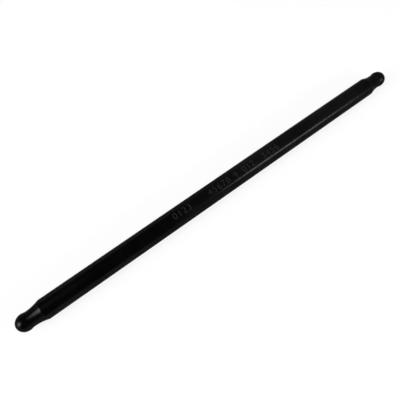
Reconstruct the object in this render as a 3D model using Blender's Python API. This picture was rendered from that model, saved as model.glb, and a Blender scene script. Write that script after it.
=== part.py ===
"""Engine pushrod: one piece of thick-walled steel tube with a ball formed on each end.

The rod lies along +X. The origin is the centre of the ball that seats in the valve lifter, and the ball that
seats in the rocker arm is at the +X end. Both ends are formed alike, and an oil passage runs right through.
All lengths are in metres.
"""

import math

import bmesh
import bpy

MM = 0.001

# Driving sizes. The inch size that each one comes from is beside it.
OVERALL_LENGTH = 215.9 * MM  # 8.500 in, over the two ball spheres, as if no oil hole cut them
TUBE_DIAMETER = 9.525 * MM  # 3/8 in
TUBE_WALL = 3.429 * MM  # 0.135 in
BALL_DIAMETER = 7.9375 * MM  # 5/16 in
BALL_WRAP = math.radians(210)  # how much of the ball's circle shows in a side view
NECK_FILLET_RADIUS = 4.5 * MM  # hollow between the ball and the narrowest section
FLARE_RADIUS = 19.05 * MM  # 3/4 in, the hollow sweep that the forming die leaves
SHOULDER_RADIUS = 0.4 * MM  # edge where the flare runs out on the tube
OIL_HOLE_DIAMETER = 2.0 * MM  # at the tip, where forming has squeezed the bore
OIL_HOLE_CHAMFER = 0.3 * MM

# Facets. Each number is how many straight steps stand for one round form.
ROD_SEGMENTS = 64
BALL_SEGMENTS = 16
NECK_SEGMENTS = 3
FLARE_SEGMENTS = 8
SHOULDER_SEGMENTS = 3
TAPER_SEGMENTS = 6

# Shading: edges that turn by less than this look smooth.
SMOOTH_ANGLE = math.radians(30)

# Black oxide on steel, as linear colour.
OXIDE_COLOUR = (0.008, 0.008, 0.009, 1.0)
OXIDE_METALLIC = 0.5
OXIDE_ROUGHNESS = 0.32


def clear_scene():
    for obj in list(bpy.data.objects):
        bpy.data.objects.remove(obj, do_unlink=True)


def steps_between(start, end, steps):
    """The values from start to end in equal steps, with both ends."""
    return [start + (end - start) * i / steps for i in range(steps + 1)]


def ball_arc(mouth_radius):
    """The ball, from the rim of the oil hole's chamfer to the end of its wrap."""
    ball = BALL_DIAMETER / 2
    mouth_angle = math.asin(mouth_radius / ball)
    angles = steps_between(mouth_angle, BALL_WRAP / 2, BALL_SEGMENTS)
    return [(ball - ball * math.cos(a), ball * math.sin(a)) for a in angles]


def neck_arc(ball_end):
    """The hollow fillet that takes the ball's closing slope round to level, at the narrowest section."""
    along, radius = ball_end
    slope = BALL_WRAP / 2 - math.pi / 2
    centre_along = along + NECK_FILLET_RADIUS * math.sin(slope)
    centre_radius = radius + NECK_FILLET_RADIUS * math.cos(slope)
    return [
        (
            centre_along - NECK_FILLET_RADIUS * math.sin(a),
            centre_radius - NECK_FILLET_RADIUS * math.cos(a),
        )
        for a in steps_between(slope, 0, NECK_SEGMENTS)
    ]


def flare_and_shoulder(neck):
    """The hollow flare from the neck, and the small round that ends it level on the tube."""
    along, neck_radius = neck
    tube = TUBE_DIAMETER / 2
    reach = FLARE_RADIUS + SHOULDER_RADIUS
    # The two arcs touch on the line between their centres, which is this long and leans back by this angle.
    lean = math.acos((reach - (tube - neck_radius)) / reach)
    flare = [
        (along + FLARE_RADIUS * math.sin(a), neck_radius + FLARE_RADIUS * (1 - math.cos(a)))
        for a in steps_between(0, lean, FLARE_SEGMENTS)
    ]
    shoulder_along = along + reach * math.sin(lean)
    shoulder = [
        (shoulder_along - SHOULDER_RADIUS * math.sin(a), tube - SHOULDER_RADIUS * (1 - math.cos(a)))
        for a in steps_between(lean, 0, SHOULDER_SEGMENTS)
    ]
    return flare + shoulder[1:]


def end_outline():
    """One formed end, as (distance from the tip, radius): the outside, then the oil passage."""
    hole = OIL_HOLE_DIAMETER / 2
    bore = TUBE_DIAMETER / 2 - TUBE_WALL
    ball = ball_arc(hole + OIL_HOLE_CHAMFER)
    neck = neck_arc(ball[-1])
    flare = flare_and_shoulder(neck[-1])
    outside = ball + neck[1:] + flare[1:]

    # The passage stays at the oil hole's size up to the neck, then opens to the tube's bore under the flare.
    mouth = outside[0][0]
    neck_along = neck[-1][0]
    flare_length = flare[-1][0] - neck_along
    passage = [(mouth + OIL_HOLE_CHAMFER, hole)]
    for share in steps_between(0, 1, TAPER_SEGMENTS):
        opened = (1 - math.cos(math.pi * share)) / 2
        passage.append((neck_along + flare_length * share, hole + (bore - hole) * opened))
    return outside, passage


def rod_section():
    """The closed half-section of the whole rod, as (x, radius)."""
    outside, passage = end_outline()
    lifter_tip = -BALL_DIAMETER / 2
    rocker_tip = lifter_tip + OVERALL_LENGTH
    section = [(lifter_tip + s, r) for s, r in outside]
    section += [(rocker_tip - s, r) for s, r in reversed(outside)]
    section += [(rocker_tip - s, r) for s, r in passage]
    section += [(lifter_tip + s, r) for s, r in reversed(passage)]
    return section


def oxide_material():
    material = bpy.data.materials.new("black_oxide_steel")
    material.use_nodes = True
    shader = material.node_tree.nodes["Principled BSDF"]
    shader.inputs["Base Color"].default_value = OXIDE_COLOUR
    shader.inputs["Metallic"].default_value = OXIDE_METALLIC
    shader.inputs["Roughness"].default_value = OXIDE_ROUGHNESS
    return material


def build_pushrod():
    """Spins the half-section about the rod's axis."""
    turned = bmesh.new()
    points = [turned.verts.new((x, 0, r)) for x, r in rod_section()]
    edges = [turned.edges.new((a, b)) for a, b in zip(points, points[1:] + points[:1])]
    bmesh.ops.spin(
        turned,
        geom=points + edges,
        cent=(0, 0, 0),
        axis=(1, 0, 0),
        angle=2 * math.pi,
        steps=ROD_SEGMENTS,
        use_merge=True,
    )
    bmesh.ops.recalc_face_normals(turned, faces=turned.faces)
    mesh = bpy.data.meshes.new("pushrod")
    turned.to_mesh(mesh)
    turned.free()
    mesh.shade_smooth()
    mesh.set_sharp_from_angle(angle=SMOOTH_ANGLE)
    mesh.materials.append(oxide_material())
    rod = bpy.data.objects.new("pushrod", mesh)
    bpy.context.scene.collection.objects.link(rod)
    return rod


clear_scene()
build_pushrod()
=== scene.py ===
# %% [markdown]
# A pushrod is the slim rod that carries the camshaft's motion from a valve lifter up to a rocker arm. This
# one is made from a single length of ground steel tube with a thick wall. Both ends are pressed into
# balls between dies, and the rod is then blackened in a hot oxide bath. The imported model is loaded
# first, because the rod's length and radius below are taken from it.

# %% Load the imported part
import math

import bmesh
import bpy
from mathutils import Matrix, Vector


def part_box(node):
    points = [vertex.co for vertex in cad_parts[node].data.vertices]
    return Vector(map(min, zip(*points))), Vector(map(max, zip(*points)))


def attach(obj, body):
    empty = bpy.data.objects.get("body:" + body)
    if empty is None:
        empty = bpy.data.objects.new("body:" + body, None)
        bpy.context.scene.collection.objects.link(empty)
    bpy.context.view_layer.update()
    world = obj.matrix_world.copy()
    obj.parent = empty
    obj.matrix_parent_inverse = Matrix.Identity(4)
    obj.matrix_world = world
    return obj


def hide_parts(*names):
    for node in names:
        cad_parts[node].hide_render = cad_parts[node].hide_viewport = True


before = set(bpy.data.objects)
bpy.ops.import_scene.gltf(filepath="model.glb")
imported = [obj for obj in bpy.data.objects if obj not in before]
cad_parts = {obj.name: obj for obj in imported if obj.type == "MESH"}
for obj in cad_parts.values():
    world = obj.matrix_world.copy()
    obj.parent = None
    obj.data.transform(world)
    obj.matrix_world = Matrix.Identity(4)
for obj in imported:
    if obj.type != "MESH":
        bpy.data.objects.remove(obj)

MM = 0.001
low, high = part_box("pushrod")
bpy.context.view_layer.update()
TUBE_RADIUS = high.z
print("rod from", low, "to", high)

# %% [markdown]
# ## Sizes of the formed end
# The forming die leaves a ball, a small hollow fillet behind it, and a long hollow flare that ends on the
# tube in a crisp shoulder. The shape could be pushed about by eye, but a rod is ordered by a handful of
# real sizes, so those are written down first and the shape follows from them.

# %% Sizes of the formed end
BALL_RADIUS = 7.9375 * MM / 2
BALL_WRAP = math.radians(210)
NECK_FILLET_RADIUS = 4.5 * MM
FLARE_RADIUS = 19.05 * MM
SHOULDER_RADIUS = 0.4 * MM
BORE_RADIUS = TUBE_RADIUS - 3.429 * MM
OIL_HOLE_RADIUS = 1.0 * MM
OIL_HOLE_CHAMFER = 0.3 * MM
MOUTH_RADIUS = OIL_HOLE_RADIUS + OIL_HOLE_CHAMFER

# The oil hole cuts the ball, so each tip is a little short of the whole sphere.
mouth_angle = math.asin(MOUTH_RADIUS / BALL_RADIUS)
MOUTH_DEPTH = BALL_RADIUS * (1 - math.cos(mouth_angle))
LIFTER_TIP = low.x - MOUTH_DEPTH
ROCKER_TIP = high.x + MOUTH_DEPTH
print("length over the ball spheres, mm:", round((ROCKER_TIP - LIFTER_TIP) / MM, 2))

# %% [markdown]
# ## The outside line
# The rod is round everywhere, so one line from tip to tip describes it all. Each stretch of the line is
# an arc that touches the next one, as in the die that presses it, so no kink shows in the reflections.
# The ends could be sculpted, but a drawn section that is later spun about an axis is the plainest way
# to model a turned or swaged part.

# %% Draw the outside of one end
BALL_STEPS = 48
NECK_STEPS = 10
FLARE_STEPS = 24
SHOULDER_STEPS = 6


def between(start, end, steps):
    """The values from start to end in equal steps, with both ends."""
    return [start + (end - start) * i / steps for i in range(steps + 1)]


def arc(centre, radius, angles):
    """Points on a circle. An angle of 0 points away from the rod's axis, and it grows towards mid rod."""
    return [(centre[0] + radius * math.sin(a), centre[1] + radius * math.cos(a)) for a in angles]


def outside_of_end():
    """The outside of one end, as (distance from the tip, radius)."""
    down = math.pi
    lean = BALL_WRAP / 2 - math.pi / 2
    ball = arc((BALL_RADIUS, 0), BALL_RADIUS, between(mouth_angle - math.pi / 2, lean, BALL_STEPS))
    neck_centre = (
        ball[-1][0] + NECK_FILLET_RADIUS * math.sin(lean),
        ball[-1][1] + NECK_FILLET_RADIUS * math.cos(lean),
    )
    neck = arc(neck_centre, NECK_FILLET_RADIUS, between(down + lean, down, NECK_STEPS))
    reach = FLARE_RADIUS + SHOULDER_RADIUS
    turn = math.acos((reach - (TUBE_RADIUS - neck[-1][1])) / reach)
    flare_centre = (neck[-1][0], neck[-1][1] + FLARE_RADIUS)
    flare = arc(flare_centre, FLARE_RADIUS, between(down, down - turn, FLARE_STEPS))
    shoulder_centre = (flare_centre[0] + reach * math.sin(turn), TUBE_RADIUS - SHOULDER_RADIUS)
    shoulder = arc(shoulder_centre, SHOULDER_RADIUS, between(-turn, 0, SHOULDER_STEPS))
    return ball + neck[1:] + flare[1:] + shoulder[1:]


outside = outside_of_end()
NECK_ALONG = outside[BALL_STEPS + NECK_STEPS][0]
SHOULDER_ALONG = outside[-1][0]
print("neck and shoulder from the tip, mm:", round(NECK_ALONG / MM, 2), round(SHOULDER_ALONG / MM, 2))

# %% [markdown]
# ## The mouth of the oil hole
# The hole in each tip is chamfered so that it can't scrape the cup it seats in, and tumbling rounds both
# edges of the chamfer a little. A round edge catches a thin line of light that a knife edge never does. A
# Bevel modifier could round the mesh. Here each corner of the drawn line is swapped for a small arc that
# touches both of its sides, which keeps the whole shape in one section.

# %% Draw the chamfered mouth
MOUTH_EDGE_RADIUS = 0.1 * MM
HOLE_EDGE_RADIUS = 0.15 * MM
CORNER_STEPS = 5


def rounded_corner(before, corner, after, radius):
    """Points on the arc of this radius that touches both sides of a corner."""
    corner = Vector(corner)
    back = (Vector(before) - corner).normalized()
    ahead = (Vector(after) - corner).normalized()
    half = back.angle(ahead) / 2
    centre = corner + (back + ahead).normalized() * radius / math.sin(half)
    first = corner + back * radius / math.tan(half) - centre
    last = corner + ahead * radius / math.tan(half) - centre
    return [tuple(centre + first.slerp(last, share) * radius) for share in between(0, 1, CORNER_STEPS)]


chamfer_rim = outside[0]
chamfer_foot = (MOUTH_DEPTH + OIL_HOLE_CHAMFER, OIL_HOLE_RADIUS)
down_the_hole = (BALL_RADIUS, OIL_HOLE_RADIUS)
hole_edge = rounded_corner(down_the_hole, chamfer_foot, chamfer_rim, HOLE_EDGE_RADIUS)
mouth_edge = rounded_corner(chamfer_foot, chamfer_rim, outside[1], MOUTH_EDGE_RADIUS)
outside = hole_edge + mouth_edge + outside[1:]
print("depth of the mouth, mm:", round((hole_edge[0][0] - MOUTH_DEPTH) / MM, 3))

# %% [markdown]
# ## The oil passage
# Oil climbs through the rod from the lifter to the rocker arm, so the tube's bore opens at both tips.
# Pressing the ball also squeezes the bore to a smaller oil hole. It narrows where the outside does, over
# the length of the flare, so its radius is eased from one size to the other there. A Boolean could drill
# such a passage, but as part of the section it needs no extra step.

# %% Draw the passage and close the section
TAPER_STEPS = 16
TUBE_RINGS = 60


def passage_of_end():
    """The oil passage of one end, as (distance from the tip, radius), from the hole inwards."""
    points = []
    for share in between(0, 1, TAPER_STEPS):
        opened = (1 - math.cos(math.pi * share)) / 2
        along = NECK_ALONG + (SHOULDER_ALONG - NECK_ALONG) * share
        points.append((along, OIL_HOLE_RADIUS + (BORE_RADIUS - OIL_HOLE_RADIUS) * opened))
    return points


def whole_section():
    """The points of the closed section, as (x, radius), and how many of them are on the outside."""
    left = [(LIFTER_TIP + s, r) for s, r in outside]
    right = [(ROCKER_TIP - s, r) for s, r in reversed(outside)]
    tube = [(x, TUBE_RADIUS) for x in between(left[-1][0], right[0][0], TUBE_RINGS)[1:-1]]
    passage = passage_of_end()
    bore = [(ROCKER_TIP - s, r) for s, r in passage]
    bore += [(LIFTER_TIP + s, r) for s, r in reversed(passage)]
    skin = left + tube + right
    return skin + bore, len(skin)


section, outside_count = whole_section()
print("points in the section:", len(section), "of which outside:", outside_count)

# %% [markdown]
# ## Spin the section
# On a lathe the work turns against the tool. Here the section is copied round the axis instead, and each
# pair of neighbours is joined by a strip of faces. A Screw modifier does the same, but faces that are
# built directly can be given their material at once, so the inside of the passage gets its own.

# %% Build the rod's mesh
STRIPS = 256
CRISP_ANGLE = math.radians(25)  # edges that turn by less than this look smooth


def spun_mesh(name, points, outside_points):
    """A closed mesh of the section spun about X. Faces of the passage take the second material."""
    count = len(points)
    vertices = []
    for strip in range(STRIPS):
        turn = 2 * math.pi * strip / STRIPS
        vertices += [(x, -r * math.sin(turn), r * math.cos(turn)) for x, r in points]
    faces = []
    for strip in range(STRIPS):
        here = strip * count
        there = (strip + 1) % STRIPS * count
        for i in range(count):
            j = (i + 1) % count
            faces.append((here + i, there + i, there + j, here + j))
    mesh = bpy.data.meshes.new(name)
    mesh.from_pydata(vertices, [], faces)
    materials = [0 if i % count < outside_points - 1 else 1 for i in range(len(faces))]
    mesh.polygons.foreach_set("material_index", materials)
    mesh.shade_smooth()
    mesh.set_sharp_from_angle(angle=CRISP_ANGLE)
    return mesh


rod_mesh = spun_mesh("finished_rod", section, outside_count)
rod = bpy.data.objects.new("finished_rod", rod_mesh)
bpy.context.scene.collection.objects.link(rod)
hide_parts("pushrod")
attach(rod, "root")
print("faces on the rod:", len(rod_mesh.polygons))

# %% [markdown]
# ## Helpers for materials
# Colours are written as the sRGB hex values that a screen would show, and one function turns them into
# the linear values that the renderer mixes. One more function adds a node with its settings and its
# links, so that each material below reads from top to bottom in the order that light meets it.

# %% Colour and node helpers


def linear(hex_colour):
    """An sRGB colour such as 1a2b3c as linear red, green, blue and alpha."""
    channels = [int(hex_colour[i:i + 2], 16) / 255 for i in (0, 2, 4)]
    return [c / 12.92 if c <= 0.04045 else ((c + 0.055) / 1.055) ** 2.4 for c in channels] + [1.0]


def add(tree, kind, inputs=None, **settings):
    """Adds one node. An input is given a plain value, or an output socket to link from."""
    made = tree.nodes.new(kind)
    for name, value in settings.items():
        setattr(made, name, value)
    for name, value in (inputs or {}).items():
        if isinstance(value, bpy.types.NodeSocket):
            tree.links.new(value, made.inputs[name])
        else:
            made.inputs[name].default_value = value
    return made


def new_material(name):
    """An empty node material, and its tree."""
    material = bpy.data.materials.new(name)
    material.use_nodes = True
    material.node_tree.nodes.clear()
    return material, material.node_tree


print("the grey bcbcbc gives this share of white's light:", round(linear("bcbcbc")[0], 3))

# %% [markdown]
# ## Where a point is on the rod
# The black film and the gloss change where the ground tube meets the formed ends, and at the oil holes. A
# mask could be painted, but the rod is so regular that two distances say it all: how far a point is past
# the shoulder, and how far it is from the axis.

# %% Places on the rod
MIDDLE = (LIFTER_TIP + ROCKER_TIP) / 2
SHOULDER_FROM_MIDDLE = MIDDLE - LIFTER_TIP - SHOULDER_ALONG
print("ground tube on each side of the middle, mm:", round(SHOULDER_FROM_MIDDLE / MM, 1))


def distance_past_shoulder(tree, place):
    """Below zero on the ground tube, and above it on the formed ends."""
    axes = add(tree, "ShaderNodeSeparateXYZ", {"Vector": place})
    offset = add(tree, "ShaderNodeMath", {0: axes.outputs["X"], 1: MIDDLE}, operation="SUBTRACT")
    from_middle = add(tree, "ShaderNodeMath", {0: offset.outputs[0]}, operation="ABSOLUTE")
    past = add(
        tree,
        "ShaderNodeMath",
        {0: from_middle.outputs[0], 1: SHOULDER_FROM_MIDDLE},
        operation="SUBTRACT",
    )
    return past.outputs[0]


def distance_from_axis(tree, place):
    """How far a point is from the line through both balls."""
    across = add(tree, "ShaderNodeVectorMath", {0: place, 1: (0, 1, 1)}, operation="MULTIPLY")
    return add(tree, "ShaderNodeVectorMath", {0: across.outputs[0]}, operation="LENGTH").outputs["Value"]


# %% [markdown]
# ## Fine lines in the steel
# A grinding wheel cut fine lines round the tube before its ends were pressed, and the tube mill drew
# others along its bore. A picture of scratches would need unwrapping and would repeat. Noise that is
# stretched in one direction looks the same and does neither, so one function makes both kinds of line.

# %% Fine lines
GRIND_SPACING = 0.3 * MM  # the real wheel leaves lines some 0.03 mm apart, too fine to show
GRIND_LENGTH = 14 * MM
LINE_DETAIL = 3.0
NOISE_SPAN = (0.3, 0.7)  # nearly all the values of a noise lie in here


def fine_lines(tree, place, size_along, size_across):
    """Noise of one size along the rod's axis and of another across it."""
    scale = (1 / size_along, 1 / size_across, 1 / size_across)
    stretched = add(tree, "ShaderNodeVectorMath", {0: place, 1: scale}, operation="MULTIPLY")
    lines = add(
        tree,
        "ShaderNodeTexNoise",
        {"Vector": stretched.outputs[0], "Scale": 1.0, "Detail": LINE_DETAIL},
    )
    return lines.outputs["Fac"]


print("a grinding line is this many times as long as wide:", round(GRIND_LENGTH / GRIND_SPACING))

# %% [markdown]
# ## The oxide's colour
# Hot blackening turns the outermost thousandth of a millimetre of the steel into magnetite, a black iron
# oxide, and oil is sealed into it. The film is never quite even: it clouds slowly from blue-black to
# brown-black, has a fine grain, and is a shade darker in the grinding lines. A single noise would show its
# own pattern, so clouds times grain give the mottle, and the lines shift it up and down.

# %% Film colour
OXIDE_BLUE = linear("101112")
OXIDE_BROWN = linear("1c1c1b")
MOTTLE_SPAN = (0.1, 0.4)  # nearly all the values of clouds times grain lie in here
LINE_SHIFT = 0.25


def film_colour(tree, clouds, grain, lines):
    """A blend from blue-black to brown-black."""
    mottle = add(tree, "ShaderNodeMath", {0: clouds, 1: grain}, operation="MULTIPLY")
    film = add(
        tree,
        "ShaderNodeMapRange",
        {"Value": mottle.outputs[0], "From Min": MOTTLE_SPAN[0], "From Max": MOTTLE_SPAN[1]},
    )
    shift = add(
        tree,
        "ShaderNodeMapRange",
        {
            "Value": lines,
            "From Min": NOISE_SPAN[0],
            "From Max": NOISE_SPAN[1],
            "To Min": -LINE_SHIFT,
            "To Max": LINE_SHIFT,
        },
    )
    lined = add(
        tree,
        "ShaderNodeMath",
        {0: film.outputs["Result"], 1: shift.outputs["Result"]},
        operation="ADD",
        use_clamp=True,
    )
    colour = add(
        tree,
        "ShaderNodeMix",
        {"Factor": lined.outputs[0], "A": OXIDE_BLUE, "B": OXIDE_BROWN},
        data_type="RGBA",
    )
    return colour.outputs["Result"]


print("blue-black reflects", round(OXIDE_BLUE[1], 4), "and brown-black", round(OXIDE_BROWN[1], 4))

# %% [markdown]
# ## Rubbed edges
# Handling rubs the film thin on crisp edges, and a little grey comes through on both shoulders and round
# the oil holes. The Bevel node could find such edges, but it is slow, and the two distances already say
# where they are. The grain breaks the grey up, so that it doesn't look like a painted ring.

# %% Thin film on the edges
OXIDE_THIN = linear("272726")
EDGE_REACH = 0.35 * MM


def thin_edges(tree, past_shoulder, from_axis, grain):
    """Highest where the film is thinnest, and 0 away from the edges."""
    off_shoulder = add(tree, "ShaderNodeMath", {0: past_shoulder}, operation="ABSOLUTE")
    shoulder = add(
        tree,
        "ShaderNodeMapRange",
        {"Value": off_shoulder.outputs[0], "From Max": EDGE_REACH, "To Min": 1, "To Max": 0},
        interpolation_type="SMOOTHSTEP",
    )
    mouth = add(
        tree,
        "ShaderNodeMapRange",
        {
            "Value": from_axis,
            "From Min": MOUTH_RADIUS,
            "From Max": MOUTH_RADIUS + EDGE_REACH,
            "To Min": 1,
            "To Max": 0,
        },
        interpolation_type="SMOOTHSTEP",
    )
    edges = add(
        tree,
        "ShaderNodeMath",
        {0: shoulder.outputs["Result"], 1: mouth.outputs["Result"]},
        operation="MAXIMUM",
    )
    broken = add(tree, "ShaderNodeMath", {0: edges.outputs[0], 1: grain}, operation="MULTIPLY")
    return broken.outputs[0]


print("thin film on each side of a shoulder, mm:", round(EDGE_REACH / MM, 2))

# %% [markdown]
# ## Gloss and relief
# The wheel leaves the tube a little glossier than the dies leave the ends, and the film makes the gloss
# wander slightly with its clouds. The dies also press the grinding lines nearly flat. Relief this fine
# would need millions of faces, so a bump map tilts the shading instead.

# %% Gloss and relief
TUBE_ROUGHNESS = 0.25
END_ROUGHNESS = 0.28
ROUGHNESS_SWING = 0.025
GRIND_DEPTH = 0.004 * MM
PRESSED_SHARE = 0.25  # how much of the lines' depth is left on the formed ends


def satin_roughness(tree, formed, clouds):
    """The roughness, where formed is 0 on the ground tube and 1 on the ends."""
    surface = add(
        tree,
        "ShaderNodeMapRange",
        {"Value": formed, "To Min": TUBE_ROUGHNESS, "To Max": END_ROUGHNESS},
    )
    swing = add(
        tree,
        "ShaderNodeMapRange",
        {
            "Value": clouds,
            "From Min": NOISE_SPAN[0],
            "From Max": NOISE_SPAN[1],
            "To Min": -ROUGHNESS_SWING,
            "To Max": ROUGHNESS_SWING,
        },
    )
    roughness = add(
        tree,
        "ShaderNodeMath",
        {0: surface.outputs["Result"], 1: swing.outputs["Result"]},
        operation="ADD",
    )
    return roughness.outputs[0]


def grinding_relief(tree, formed, lines):
    """A normal that is tilted by the lines, and less so on the formed ends."""
    strength = add(tree, "ShaderNodeMapRange", {"Value": formed, "To Min": 1, "To Max": PRESSED_SHARE})
    bump = add(
        tree,
        "ShaderNodeBump",
        {"Height": lines, "Strength": strength.outputs["Result"], "Distance": GRIND_DEPTH},
    )
    return bump.outputs["Normal"]


print("roughness of the tube and of the ends:", TUBE_ROUGHNESS, END_ROUGHNESS)

# %% [markdown]
# ## Black oxide on ground steel
# The film hides the steel's colour but copies its surface exactly. To the eye it is a near-black satin
# that shows lamps as soft streaks. It could be made as a dark paint, but magnetite conducts, so it is a
# metal to the renderer: no white shine of its own, only its dark colour in every reflection. Real black
# oxide also stays dark at a glancing angle, where a plain metal turns white, and the shader's edge tint
# sees to that.

# %% Black oxide material
CLOUD_SIZE = 14 * MM
CLOUD_DETAIL = 3.0
GRAIN_SIZE = 0.9 * MM  # the real grain is some 0.01 mm, too fine to show
GRAIN_DETAIL = 2.0
GLANCING_TINT = linear("bcbcbc")


def black_oxide():
    material, tree = new_material("black_oxide_on_ground_steel")
    place = add(tree, "ShaderNodeTexCoord").outputs["Object"]
    past_shoulder = distance_past_shoulder(tree, place)
    from_axis = distance_from_axis(tree, place)
    formed = add(tree, "ShaderNodeMapRange", {"Value": past_shoulder, "From Max": EDGE_REACH})
    lines = fine_lines(tree, place, GRIND_SPACING, GRIND_LENGTH)
    clouds = add(
        tree,
        "ShaderNodeTexNoise",
        {"Vector": place, "Scale": 1 / CLOUD_SIZE, "Detail": CLOUD_DETAIL},
    )
    grain = add(
        tree,
        "ShaderNodeTexNoise",
        {"Vector": place, "Scale": 1 / GRAIN_SIZE, "Detail": GRAIN_DETAIL},
    )
    colour = add(
        tree,
        "ShaderNodeMix",
        {
            "Factor": thin_edges(tree, past_shoulder, from_axis, grain.outputs["Fac"]),
            "A": film_colour(tree, clouds.outputs["Fac"], grain.outputs["Fac"], lines),
            "B": OXIDE_THIN,
        },
        data_type="RGBA",
    )
    shader = add(
        tree,
        "ShaderNodeBsdfPrincipled",
        {
            "Base Color": colour.outputs["Result"],
            "Metallic": 1.0,
            "Roughness": satin_roughness(tree, formed.outputs["Result"], clouds.outputs["Fac"]),
            "Specular Tint": GLANCING_TINT,
            "Normal": grinding_relief(tree, formed.outputs["Result"], lines),
        },
    )
    add(tree, "ShaderNodeOutputMaterial", {"Surface": shader.outputs["BSDF"]})
    return material


rod_mesh.materials.append(black_oxide())
print("nodes in the black oxide:", len(rod_mesh.materials[0].node_tree.nodes))

# %% [markdown]
# ## The wet bore
# The bath blackens the bore too, but no wheel reaches it. It keeps the long draw lines of the tube mill,
# and the sealing oil stays in it. To the eye it is a dull black, streaked along its length, with a wet
# gleam over it. A second, shiny surface could stand for the oil, but the shader's coat layer shines over
# whatever is below and needs no mesh.

# %% Bore material
BORE_BLACK = linear("0c0b0a")
BORE_RUSTY = linear("191411")
DRAW_WIDTH = 0.2 * MM  # the real lines are some 0.05 mm wide, too fine to show
DRAW_LENGTH = 12 * MM
DRAW_DEPTH = 0.006 * MM
BORE_ROUGHNESS = 0.5
OIL_SHARE = 0.4
OIL_ROUGHNESS = 0.12


def oiled_bore():
    material, tree = new_material("oiled_black_oxide_in_drawn_bore")
    place = add(tree, "ShaderNodeTexCoord").outputs["Object"]
    streaks = fine_lines(tree, place, DRAW_LENGTH, DRAW_WIDTH)
    colour = add(
        tree,
        "ShaderNodeMix",
        {"Factor": streaks, "A": BORE_BLACK, "B": BORE_RUSTY},
        data_type="RGBA",
    )
    bump = add(tree, "ShaderNodeBump", {"Height": streaks, "Distance": DRAW_DEPTH})
    shader = add(
        tree,
        "ShaderNodeBsdfPrincipled",
        {
            "Base Color": colour.outputs["Result"],
            "Metallic": 1.0,
            "Roughness": BORE_ROUGHNESS,
            "Coat Weight": OIL_SHARE,
            "Coat Roughness": OIL_ROUGHNESS,
            "Normal": bump.outputs["Normal"],
        },
    )
    add(tree, "ShaderNodeOutputMaterial", {"Surface": shader.outputs["BSDF"]})
    return material


rod_mesh.materials.append(oiled_bore())
print("nodes in the bore's material:", len(rod_mesh.materials[1].node_tree.nodes))

# %% [markdown]
# ## Flat laser digits
# Pushrods are marked on the tube by a laser, which burns fine characters through the black oxide to matt
# grey steel. These are plain digits in counting order. They could be a pattern in the material, but a
# font's outlines stay sharp at any distance, so a text curve makes them, a little thinned, and each group
# is turned into a flat mesh of the real height.

# %% Make the flat digits
DIGIT_GROUPS = [
    ("0123", 74.5 * MM),
    ("45678", 94.0 * MM),
    ("9", 109.0 * MM),
    ("012", 114.0 * MM),
    ("3456", 126.3 * MM),
]
DIGIT_HEIGHT = 3.1 * MM
DIGIT_SPACING = 1.14
STROKE_TRIM = -0.006  # share of the font's size that comes off each side of a stroke
FLAT_THICKNESS = 0.1  # any thickness will do, as wrapping sets the real one
CURVE_STEPS = 5
WELD_DISTANCE = 1e-5  # in the font's own units


def on_one_side(face):
    """True for a face on the front or the back of the digits, and not for one on their rim."""
    return len({v.co.z > 0 for v in face.verts}) == 1


def flat_digits(text):
    """A closed mesh that stands on y = 0, starts at x = 0 and is as tall as the digits are."""
    curve = bpy.data.curves.new("digits", "FONT")
    curve.body = text
    curve.resolution_u = CURVE_STEPS
    curve.space_character = DIGIT_SPACING
    curve.extrude = FLAT_THICKNESS
    curve.offset = STROKE_TRIM
    writer = bpy.data.objects.new("digits", curve)
    written = bpy.data.meshes.new_from_object(writer)
    group = bmesh.new()
    group.from_mesh(written)
    bpy.data.meshes.remove(written)
    bpy.data.objects.remove(writer)
    bpy.data.curves.remove(curve)

    bmesh.ops.remove_doubles(group, verts=group.verts, dist=WELD_DISTANCE)
    # Some of the font's triangles are as thin as a line, so the edges they share are moved.
    flat = [f for f in group.faces if on_one_side(f)]
    shared = [e for e in group.edges if all(on_one_side(f) for f in e.link_faces)]
    bmesh.ops.beautify_fill(group, faces=flat, edges=shared, method="ANGLE")

    left = min(v.co.x for v in group.verts)
    scale = DIGIT_HEIGHT / max(v.co.y for v in group.verts)
    for v in group.verts:
        v.co.x = (v.co.x - left) * scale
        v.co.y = v.co.y * scale
    return group


flat_groups = [flat_digits(text) for text, start in DIGIT_GROUPS]
group_widths = [max(v.co.x for v in group.verts) for group in flat_groups]
print("widths of the groups, mm:", [round(width / MM, 1) for width in group_widths])

# %% [markdown]
# ## Wrap them round the tube
# The digits run along the top of the tube and follow its curve. A Shrinkwrap modifier could press them
# on, but a tube is simple enough for a formula: height on the flat becomes an angle round the axis. Each
# group is first sliced into narrow bands, so that it bends smoothly, and comes out just thick enough to
# lie in the surface.

# %% Wrap the digits
MARK_TURN = math.radians(5.4)  # how far round from the top of the tube
MARK_ABOVE = 0.012 * MM
MARK_BELOW = 0.02 * MM
BAND_HEIGHT = 0.25 * MM


def wrap(group, start):
    """Slices a flat group into bands and bends it round the tube, from this place along the rod."""
    for height in between(0, DIGIT_HEIGHT, round(DIGIT_HEIGHT / BAND_HEIGHT))[1:-1]:
        everything = list(group.verts) + list(group.edges) + list(group.faces)
        bmesh.ops.bisect_plane(group, geom=everything, plane_co=(0, height, 0), plane_no=(0, 1, 0))
    for v in group.verts:
        turn = MARK_TURN - (v.co.y - DIGIT_HEIGHT / 2) / TUBE_RADIUS
        radius = TUBE_RADIUS + (MARK_ABOVE if v.co.z > 0 else -MARK_BELOW)
        v.co = (start + v.co.x, -radius * math.sin(turn), radius * math.cos(turn))


def joined(name, groups):
    """One mesh of all the groups, which are used up."""
    whole = bmesh.new()
    for group in groups:
        bent = bpy.data.meshes.new("bent")
        group.to_mesh(bent)
        group.free()
        whole.from_mesh(bent)
        bpy.data.meshes.remove(bent)
    bmesh.ops.recalc_face_normals(whole, faces=whole.faces)
    mesh = bpy.data.meshes.new(name)
    whole.to_mesh(mesh)
    whole.free()
    return mesh


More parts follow.
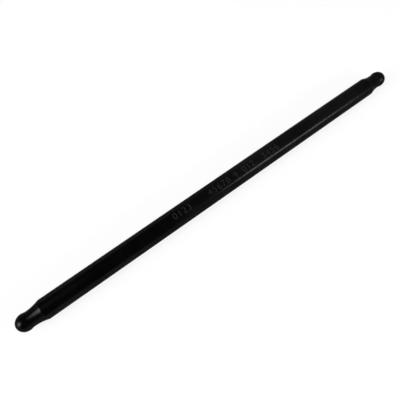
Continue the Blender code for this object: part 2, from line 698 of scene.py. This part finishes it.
for flat_group, (text, start) in zip(flat_groups, DIGIT_GROUPS):
    wrap(flat_group, start)
digits_mesh = joined("laser_digits", flat_groups)
digits = bpy.data.objects.new("laser_digits", digits_mesh)
bpy.context.scene.collection.objects.link(digits)
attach(digits, "root")
print("faces on the digits:", len(digits_mesh.polygons))

# %% [markdown]
# ## Laser-burnt steel
# The laser's spot runs to and fro in close parallel passes. It leaves bare steel with a rough, dull grey
# skin of scale, a little uneven from pass to pass. To the eye it is matt, with hardly a reflection, so it
# stands out from the satin round it. A plain grey would look printed on, so wave bands for the passes and
# a noise for the burning break it up. The skin is part metal and part scale, and the metallic value lies
# between the two.

# %% Laser mark material
MARK_PALE = linear("2b2b2d")
MARK_DULL = linear("1a1a1c")
PASS_SPACING = 0.12 * MM  # the real passes are some 0.04 mm apart, too fine to show
PASS_DEPTH = 0.004 * MM
PASS_WOBBLE = 0.6
PASS_DETAIL = 1.0
BURN_DETAIL = 3.0
SCALE_METALLIC = 0.3
SCALE_ROUGHNESS = 0.7
SCALE_SPECULAR = 0.2


def laser_burnt():
    material, tree = new_material("laser_burnt_steel")
    place = add(tree, "ShaderNodeTexCoord").outputs["Object"]
    passes = add(
        tree,
        "ShaderNodeTexWave",
        {"Vector": place, "Scale": 1 / PASS_SPACING, "Distortion": PASS_WOBBLE, "Detail": PASS_DETAIL},
        bands_direction="X",
    )
    burn = add(
        tree,
        "ShaderNodeTexNoise",
        {"Vector": place, "Scale": 1 / GRAIN_SIZE, "Detail": BURN_DETAIL},
    )
    uneven = add(
        tree,
        "ShaderNodeMath",
        {0: passes.outputs["Fac"], 1: burn.outputs["Fac"]},
        operation="MULTIPLY",
    )
    colour = add(
        tree,
        "ShaderNodeMix",
        {"Factor": uneven.outputs[0], "A": MARK_DULL, "B": MARK_PALE},
        data_type="RGBA",
    )
    bump = add(tree, "ShaderNodeBump", {"Height": passes.outputs["Fac"], "Distance": PASS_DEPTH})
    shader = add(
        tree,
        "ShaderNodeBsdfPrincipled",
        {
            "Base Color": colour.outputs["Result"],
            "Metallic": SCALE_METALLIC,
            "Roughness": SCALE_ROUGHNESS,
            "Specular IOR Level": SCALE_SPECULAR,
            "Normal": bump.outputs["Normal"],
        },
    )
    add(tree, "ShaderNodeOutputMaterial", {"Surface": shader.outputs["BSDF"]})
    return material


digits_mesh.materials.append(laser_burnt())
print("nodes in the laser marks' material:", len(digits_mesh.materials[0].node_tree.nodes))

# %% [markdown]
# ## White paper that keeps the shadow
# The rod lies on white paper. Paper alone would need a lot of light to look pure white, and that light
# would fall on the rod too. So what the camera sees of the paper, directly or in a reflection, is part
# lit paper and part plain white. The lit part carries the rod's soft shadow, and the white part gives the
# rod no extra light. Away from the rod the lit part fades out, so the paper runs into the white room with
# no edge.

# %% Paper material
PAPER = linear("fdfdfd")
WHITE = linear("ffffff")
LIT_SHARE = 0.16
FADE_START = 50 * MM
FADE_END = 160 * MM
FADE_SQUEEZE = 0.3  # the lit patch is longer than it is wide, as the rod is


def in_a_mirror(tree, path):
    """1 for a ray that left a shiny surface or passed through glass, and so shows what is around."""
    mirrored = add(
        tree,
        "ShaderNodeMath",
        {0: path.outputs["Is Glossy Ray"], 1: path.outputs["Is Transmission Ray"]},
        operation="MAXIMUM",
    )
    return mirrored.outputs[0]


def lit_share(tree):
    """How much of what is seen is lit paper: LIT_SHARE by the rod, and nothing far away."""
    place = add(tree, "ShaderNodeTexCoord").outputs["Object"]
    squeezed = add(
        tree,
        "ShaderNodeVectorMath",
        {0: place, 1: (FADE_SQUEEZE, 1, 1)},
        operation="MULTIPLY",
    )
    away = add(tree, "ShaderNodeVectorMath", {0: squeezed.outputs[0]}, operation="LENGTH")
    share = add(
        tree,
        "ShaderNodeMapRange",
        {
            "Value": away.outputs["Value"],
            "From Min": FADE_START,
            "From Max": FADE_END,
            "To Min": LIT_SHARE,
            "To Max": 0,
        },
        interpolation_type="SMOOTHSTEP",
    )
    return share.outputs["Result"]


def white_paper():
    material, tree = new_material("white_paper")
    lit = add(tree, "ShaderNodeBsdfDiffuse", {"Color": PAPER})
    white = add(tree, "ShaderNodeEmission", {"Color": WHITE, "Strength": 1.0})
    seen = add(
        tree,
        "ShaderNodeMixShader",
        {0: lit_share(tree), 1: white.outputs[0], 2: lit.outputs[0]},
    )
    path = add(tree, "ShaderNodeLightPath")
    looking = add(
        tree,
        "ShaderNodeMath",
        {0: path.outputs["Is Camera Ray"], 1: in_a_mirror(tree, path)},
        operation="MAXIMUM",
    )
    paper = add(
        tree,
        "ShaderNodeMixShader",
        {0: looking.outputs[0], 1: lit.outputs[0], 2: seen.outputs[0]},
    )
    add(tree, "ShaderNodeOutputMaterial", {"Surface": paper.outputs[0]})
    return material


paper_material = white_paper()
print("nodes in the paper:", len(paper_material.node_tree.nodes))

# %% [markdown]
# ## The floor
# One large square under the rod is enough, because the white room takes over where the paper has faded. A
# curved backdrop would do the same with more faces. The square touches the rod's lowest line, so that the
# shadow starts where steel meets paper.

# %% Lay the paper
FLOOR_REACH = 4.0

corners = [(-FLOOR_REACH, -FLOOR_REACH, 0), (FLOOR_REACH, -FLOOR_REACH, 0)]
corners += [(FLOOR_REACH, FLOOR_REACH, 0), (-FLOOR_REACH, FLOOR_REACH, 0)]
floor_mesh = bpy.data.meshes.new("floor")
floor_mesh.from_pydata(corners, [], [(0, 1, 2, 3)])
floor_mesh.materials.append(paper_material)
floor = bpy.data.objects.new("floor", floor_mesh)
floor.location = (MIDDLE, 0, low.z)
bpy.context.scene.collection.objects.link(floor)
print("floor at", floor.location)

# %% [markdown]
# ## The camera
# The photograph was taken from close by, with the lifter's end nearer to the lens, so the rod tapers in
# the picture. A long lens from far off could frame the rod too, but its edges would then run parallel.
# The camera's direction and distance were found from the rod's outline in the photograph, with its slope,
# its length and its width at each end. The lens follows from how far a highlight runs up to the near
# shoulder, which depends on how steeply the camera looks down on that end.

# %% Place the camera


def direction(azimuth, elevation):
    """A unit vector. Azimuth 0 is along -Y and 90 along +X, and elevation is up from the floor."""
    around = math.radians(azimuth)
    up = math.radians(elevation)
    return Vector((math.sin(around) * math.cos(up), -math.cos(around) * math.cos(up), math.sin(up)))


VIEW_FROM = direction(-36.36, 69.57)
VIEW_DISTANCE = 159.4 * MM
VIEW_TARGET = Vector((90.05, 0.61, 0)) * MM
SENSOR_WIDTH = 36  # this and the lens are in mm
LENS = 30.6
NEAR_LIMIT = 10 * MM

camera_data = bpy.data.cameras.new("camera")
camera_data.sensor_width = SENSOR_WIDTH
camera_data.lens = LENS
camera_data.clip_start = NEAR_LIMIT
camera = bpy.data.objects.new("camera", camera_data)
camera.location = VIEW_TARGET + VIEW_FROM * VIEW_DISTANCE
camera.rotation_mode = "QUATERNION"
camera.rotation_quaternion = (-VIEW_FROM).to_track_quat("-Z", "Y")
bpy.context.scene.collection.objects.link(camera)
bpy.context.scene.camera = camera
print("camera at", camera.location)

# %% [markdown]
# ## Soft boxes
# A soft box is a lamp behind a stretched white cloth. The cloth is brightest in the middle and fades
# towards its edges, so its reflection in satin has no hard outline. A plain area lamp is equally bright
# all over and would leave one, so each box here is an area lamp whose own nodes ease its strength off
# over the outer part of the cloth.

# %% Make a soft box


def faded_cloth(tree, fade):
    """The light over the cloth: full in the middle, and eased to nothing over the outer share."""
    spot = add(tree, "ShaderNodeNewGeometry").outputs["Parametric"]
    centred = add(
        tree,
        "ShaderNodeVectorMath",
        {0: spot, 1: (2, 2, 0), 2: (-1, -1, 0)},
        operation="MULTIPLY_ADD",
    )
    sides = add(tree, "ShaderNodeSeparateXYZ", {"Vector": centred.outputs[0]})
    shares = []
    for side in ("X", "Y"):
        off_middle = add(tree, "ShaderNodeMath", {0: sides.outputs[side]}, operation="ABSOLUTE")
        share = add(
            tree,
            "ShaderNodeMapRange",
            {"Value": off_middle.outputs[0], "From Min": 1 - fade, "To Min": 1, "To Max": 0},
            interpolation_type="SMOOTHSTEP",
        )
        shares.append(share.outputs["Result"])
    strength = add(tree, "ShaderNodeMath", {0: shares[0], 1: shares[1]}, operation="MULTIPLY")
    light = add(tree, "ShaderNodeEmission", {"Strength": strength.outputs[0]})
    add(tree, "ShaderNodeOutputLight", {"Surface": light.outputs[0]})


def soft_box(name, at, facing, along, size, level, fade):
    """A rectangular lamp. Size is (side along that direction, other side). Level 1 looks plain white."""
    lamp_data = bpy.data.lights.new(name, "AREA")
    lamp_data.shape = "RECTANGLE"
    lamp_data.size = size[0]
    lamp_data.size_y = size[1]
    lamp_data.energy = level * math.pi * size[0] * size[1]
    lamp_data.use_nodes = True
    lamp_data.node_tree.nodes.clear()
    faded_cloth(lamp_data.node_tree, fade)
    lamp = bpy.data.objects.new(name, lamp_data)
    out = (at - facing).normalized()
    side = (along - out * along.dot(out)).normalized()
    turn = Matrix((side, out.cross(side), out)).transposed().to_4x4()
    lamp.matrix_world = Matrix.Translation(at) @ turn
    bpy.context.scene.collection.objects.link(lamp)
    print(name, "is", round((at - facing).length, 2), "m away and gives", round(lamp_data.energy), "W")


# %% [markdown]
# ## The slim box
# A black satin surface shows little but its lamps, so where they stand matters more than how strong they
# are. A slim box low in front draws the thin line of light along the far half of the rod. It could be
# found by trial, but both ends of that line were followed off the rod instead, as light leaves a mirror.

# %% Set up the slim box
SLIM_START = Vector((0.332, -0.60, 0.370))
SLIM_END = Vector((0.676, -0.60, 0.321))
SLIM_AIM = Vector((145, 0, 0)) * MM
SLIM_WIDTH = 0.055
SLIM_LEVEL = 40
SLIM_FADE = 0.2

soft_box(
    "slim_box",
    at=(SLIM_START + SLIM_END) / 2,
    facing=SLIM_AIM,
    along=SLIM_END - SLIM_START,
    size=((SLIM_END - SLIM_START).length, SLIM_WIDTH),
    level=SLIM_LEVEL,
    fade=SLIM_FADE,
)

# %% [markdown]
# ## The broad box
# A broad box beyond the near tip lights the near ball and flare, and it is the main lamp of the whole
# picture. It was placed in the same way, and its cloth fades from the middle out, so that the highlight
# on the flare melts into black on both sides.

# %% Set up the broad box
BROAD_FROM = direction(-98.5, 36)
BROAD_AIM = Vector((5, 0, 0)) * MM  # the near flare
BROAD_DISTANCE = 2.4
BROAD_SIZE = (1.9, 3.2)
BROAD_LEVEL = 15
BROAD_FADE = 1.0

soft_box(
    "broad_box",
    at=BROAD_AIM + BROAD_FROM * BROAD_DISTANCE,
    facing=BROAD_AIM,
    along=Vector((0, 1, 0)),
    size=BROAD_SIZE,
    level=BROAD_LEVEL,
    fade=BROAD_FADE,
)

# %% [markdown]
# ## The room
# The rest of the light comes from the room. All round the rod the white paper curves up, higher at the
# back than in front, and satin steel mirrors it as far up as it reaches. Above it is the dimmer room,
# which is brighter towards the rod's far end than towards its near end. Walls and ceiling could be
# modelled, but two blends in the world say the same. The camera looks only at paper, so it sees plain
# white all round.

# %% The world
NEAR_LEVEL = 0.12
FAR_LEVEL = 0.65
NEAR_LEAN = -0.05  # a direction that leans this far along X meets the dimmest part of the room
FAR_LEAN = 0.42  # and one that leans this far meets the brightest
PAPER_ENDS = (0.1, 0.37)  # how steeply a direction rises where the paper starts to end, and has ended
PAPER_TILT = -0.16  # how much lower the paper ends in front than at the sides


def room_level(tree, axes):
    """How bright the room is over the paper, by how far a direction leans along X."""
    level = add(
        tree,
        "ShaderNodeMapRange",
        {
            "Value": axes.outputs["X"],
            "From Min": NEAR_LEAN,
            "From Max": FAR_LEAN,
            "To Min": NEAR_LEVEL,
            "To Max": FAR_LEVEL,
        },
        interpolation_type="SMOOTHSTEP",
    )
    return level.outputs["Result"]


def raised_paper(tree, axes):
    """1 in the directions that meet the paper, and 0 in those that pass over it."""
    height = add(
        tree,
        "ShaderNodeMath",
        {0: axes.outputs["Y"], 1: PAPER_TILT, 2: axes.outputs["Z"]},
        operation="MULTIPLY_ADD",
    )
    paper = add(
        tree,
        "ShaderNodeMapRange",
        {
            "Value": height.outputs[0],
            "From Min": PAPER_ENDS[0],
            "From Max": PAPER_ENDS[1],
            "To Min": 1,
            "To Max": 0,
        },
        interpolation_type="SMOOTHSTEP",
    )
    return paper.outputs["Result"]


def studio():
    world = bpy.data.worlds.new("studio")
    world.use_nodes = True
    tree = world.node_tree
    tree.nodes.clear()
    outward = add(tree, "ShaderNodeTexCoord").outputs["Generated"]
    axes = add(tree, "ShaderNodeSeparateXYZ", {"Vector": outward})
    path = add(tree, "ShaderNodeLightPath")
    mirrored = add(
        tree,
        "ShaderNodeMath",
        {0: in_a_mirror(tree, path), 1: raised_paper(tree, axes)},
        operation="MULTIPLY",
    )
    white = add(
        tree,
        "ShaderNodeMath",
        {0: path.outputs["Is Camera Ray"], 1: mirrored.outputs[0]},
        operation="MAXIMUM",
    )
    level = add(
        tree,
        "ShaderNodeMix",
        {"Factor": white.outputs[0], "A": room_level(tree, axes), "B": 1.0},
        data_type="FLOAT",
    )
    light = add(tree, "ShaderNodeBackground", {"Color": WHITE, "Strength": level.outputs["Result"]})
    add(tree, "ShaderNodeOutputWorld", {"Surface": light.outputs["Background"]})
    return world


bpy.context.scene.world = studio()
bpy.context.scene.view_settings.view_transform = "Standard"
print("the room's level, near and far:", NEAR_LEVEL, FAR_LEVEL)
